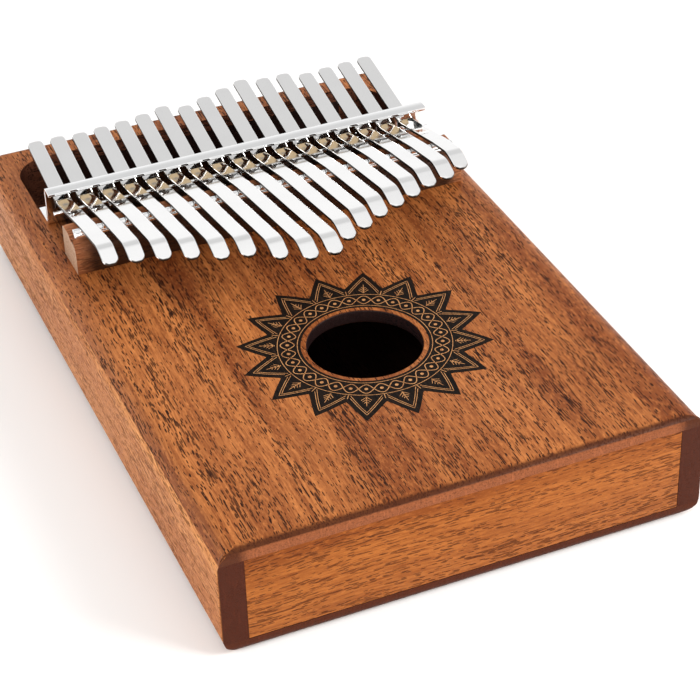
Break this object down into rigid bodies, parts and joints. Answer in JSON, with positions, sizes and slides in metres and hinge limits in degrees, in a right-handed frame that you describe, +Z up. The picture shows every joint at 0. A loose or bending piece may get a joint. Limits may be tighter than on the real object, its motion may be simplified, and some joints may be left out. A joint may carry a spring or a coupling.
{
  "type": "box mbira",
  "caption": "Hollow wooden box mbira with a sound hole, a slotted clamp bracket, a bridge with a steel rod, and a row of bent steel tines that flex when plucked.",
  "frame": {"origin": "centre of the underside of the body", "axes": "+X to the player's right when the rear end points away, +Y from the thumb end to the clamped rear end, +Z up out of the top board"},
  "size_m": [0.134, 0.209, 0.0541],
  "materials": {
    "body_wood": "open-grained reddish brown mahogany-like hardwood, satin oil",
    "side_wood": "same hardwood as the top, satin oil",
    "panel_wood": "lighter piece of the same hardwood, satin oil",
    "block_wood": "plain hardwood block, unfinished",
    "bridge_wood": "hardwood, sanded ends, satin",
    "sill_wood": "dark hardwood",
    "chrome_rod": "polished plated rod",
    "bracket_chrome": "polished plated sheet",
    "screw_steel": "zinc-plated slotted screws",
    "tine_steel": "polished plated spring steel"
  },
  "bodies": {
    "box": {"top_board": "body_wood", "bottom_board": "body_wood", "left_side": "side_wood", "right_side": "side_wood", "front_panel": "panel_wood", "back_panel": "panel_wood", "clamp_block": "block_wood", "bridge": "bridge_wood", "bridge_rod": "chrome_rod", "bracket": "bracket_chrome", "rest_rod": "chrome_rod", "rear_sill": "sill_wood", "bracket_screws": "screw_steel", "tine_heel_1": "tine_steel", "tine_heel_2": "tine_steel", "tine_heel_3": "tine_steel", "tine_heel_4": "tine_steel", "tine_heel_5": "tine_steel", "tine_heel_6": "tine_steel", "tine_heel_7": "tine_steel", "tine_heel_8": "tine_steel", "tine_heel_9": "tine_steel", "tine_heel_10": "tine_steel", "tine_heel_11": "tine_steel", "tine_heel_12": "tine_steel", "tine_heel_13": "tine_steel", "tine_heel_14": "tine_steel", "tine_heel_15": "tine_steel", "tine_heel_16": "tine_steel", "tine_heel_17": "tine_steel"},
    "tine_1": {"tine_blade_1": "tine_steel"},
    "tine_2": {"tine_blade_2": "tine_steel"},
    "tine_3": {"tine_blade_3": "tine_steel"},
    "tine_4": {"tine_blade_4": "tine_steel"},
    "tine_5": {"tine_blade_5": "tine_steel"},
    "tine_6": {"tine_blade_6": "tine_steel"},
    "tine_7": {"tine_blade_7": "tine_steel"},
    "tine_8": {"tine_blade_8": "tine_steel"},
    "tine_9": {"tine_blade_9": "tine_steel"},
    "tine_10": {"tine_blade_10": "tine_steel"},
    "tine_11": {"tine_blade_11": "tine_steel"},
    "tine_12": {"tine_blade_12": "tine_steel"},
    "tine_13": {"tine_blade_13": "tine_steel"},
    "tine_14": {"tine_blade_14": "tine_steel"},
    "tine_15": {"tine_blade_15": "tine_steel"},
    "tine_16": {"tine_blade_16": "tine_steel"},
    "tine_17": {"tine_blade_17": "tine_steel"}
  },
  "joints": [
    {"name": "tine_1_flex", "type": "hinge", "parent": "box", "child": "tine_1", "pos_m": [-0.0548, 0.03072, 0.04573], "axis": [1, 0, 0], "range_deg": [-2, 3], "stiffness_Nm_per_rad": 0.6},
    {"name": "tine_2_flex", "type": "hinge", "parent": "box", "child": "tine_2", "pos_m": [-0.04795, 0.03072, 0.04573], "axis": [1, 0, 0], "range_deg": [-2, 3], "stiffness_Nm_per_rad": 0.6},
    {"name": "tine_3_flex", "type": "hinge", "parent": "box", "child": "tine_3", "pos_m": [-0.0411, 0.03072, 0.04573], "axis": [1, 0, 0], "range_deg": [-2, 3], "stiffness_Nm_per_rad": 0.6},
    {"name": "tine_4_flex", "type": "hinge", "parent": "box", "child": "tine_4", "pos_m": [-0.03425, 0.03072, 0.04573], "axis": [1, 0, 0], "range_deg": [-2, 3], "stiffness_Nm_per_rad": 0.6},
    {"name": "tine_5_flex", "type": "hinge", "parent": "box", "child": "tine_5", "pos_m": [-0.0274, 0.03072, 0.04573], "axis": [1, 0, 0], "range_deg": [-2, 3], "stiffness_Nm_per_rad": 0.6},
    {"name": "tine_6_flex", "type": "hinge", "parent": "box", "child": "tine_6", "pos_m": [-0.02055, 0.03072, 0.04573], "axis": [1, 0, 0], "range_deg": [-2, 3], "stiffness_Nm_per_rad": 0.6},
    {"name": "tine_7_flex", "type": "hinge", "parent": "box", "child": "tine_7", "pos_m": [-0.0137, 0.03072, 0.04573], "axis": [1, 0, 0], "range_deg": [-2, 3], "stiffness_Nm_per_rad": 0.6},
    {"name": "tine_8_flex", "type": "hinge", "parent": "box", "child": "tine_8", "pos_m": [-0.00685, 0.03072, 0.04573], "axis": [1, 0, 0], "range_deg": [-2, 3], "stiffness_Nm_per_rad": 0.6},
    {"name": "tine_9_flex", "type": "hinge", "parent": "box", "child": "tine_9", "pos_m": [0, 0.03072, 0.04573], "axis": [1, 0, 0], "range_deg": [-2, 3], "stiffness_Nm_per_rad": 0.6},
    {"name": "tine_10_flex", "type": "hinge", "parent": "box", "child": "tine_10", "pos_m": [0.00685, 0.03072, 0.04573], "axis": [1, 0, 0], "range_deg": [-2, 3], "stiffness_Nm_per_rad": 0.6},
    {"name": "tine_11_flex", "type": "hinge", "parent": "box", "child": "tine_11", "pos_m": [0.0137, 0.03072, 0.04573], "axis": [1, 0, 0], "range_deg": [-2, 3], "stiffness_Nm_per_rad": 0.6},
    {"name": "tine_12_flex", "type": "hinge", "parent": "box", "child": "tine_12", "pos_m": [0.02055, 0.03072, 0.04573], "axis": [1, 0, 0], "range_deg": [-2, 3], "stiffness_Nm_per_rad": 0.6},
    {"name": "tine_13_flex", "type": "hinge", "parent": "box", "child": "tine_13", "pos_m": [0.0274, 0.03072, 0.04573], "axis": [1, 0, 0], "range_deg": [-2, 3], "stiffness_Nm_per_rad": 0.6},
    {"name": "tine_14_flex", "type": "hinge", "parent": "box", "child": "tine_14", "pos_m": [0.03425, 0.03072, 0.04573], "axis": [1, 0, 0], "range_deg": [-2, 3], "stiffness_Nm_per_rad": 0.6},
    {"name": "tine_15_flex", "type": "hinge", "parent": "box", "child": "tine_15", "pos_m": [0.0411, 0.03072, 0.04573], "axis": [1, 0, 0], "range_deg": [-2, 3], "stiffness_Nm_per_rad": 0.6},
    {"name": "tine_16_flex", "type": "hinge", "parent": "box", "child": "tine_16", "pos_m": [0.04795, 0.03072, 0.04573], "axis": [1, 0, 0], "range_deg": [-2, 3], "stiffness_Nm_per_rad": 0.6},
    {"name": "tine_17_flex", "type": "hinge", "parent": "box", "child": "tine_17", "pos_m": [0.0548, 0.03072, 0.04573], "axis": [1, 0, 0], "range_deg": [-2, 3], "stiffness_Nm_per_rad": 0.6}
  ]
}
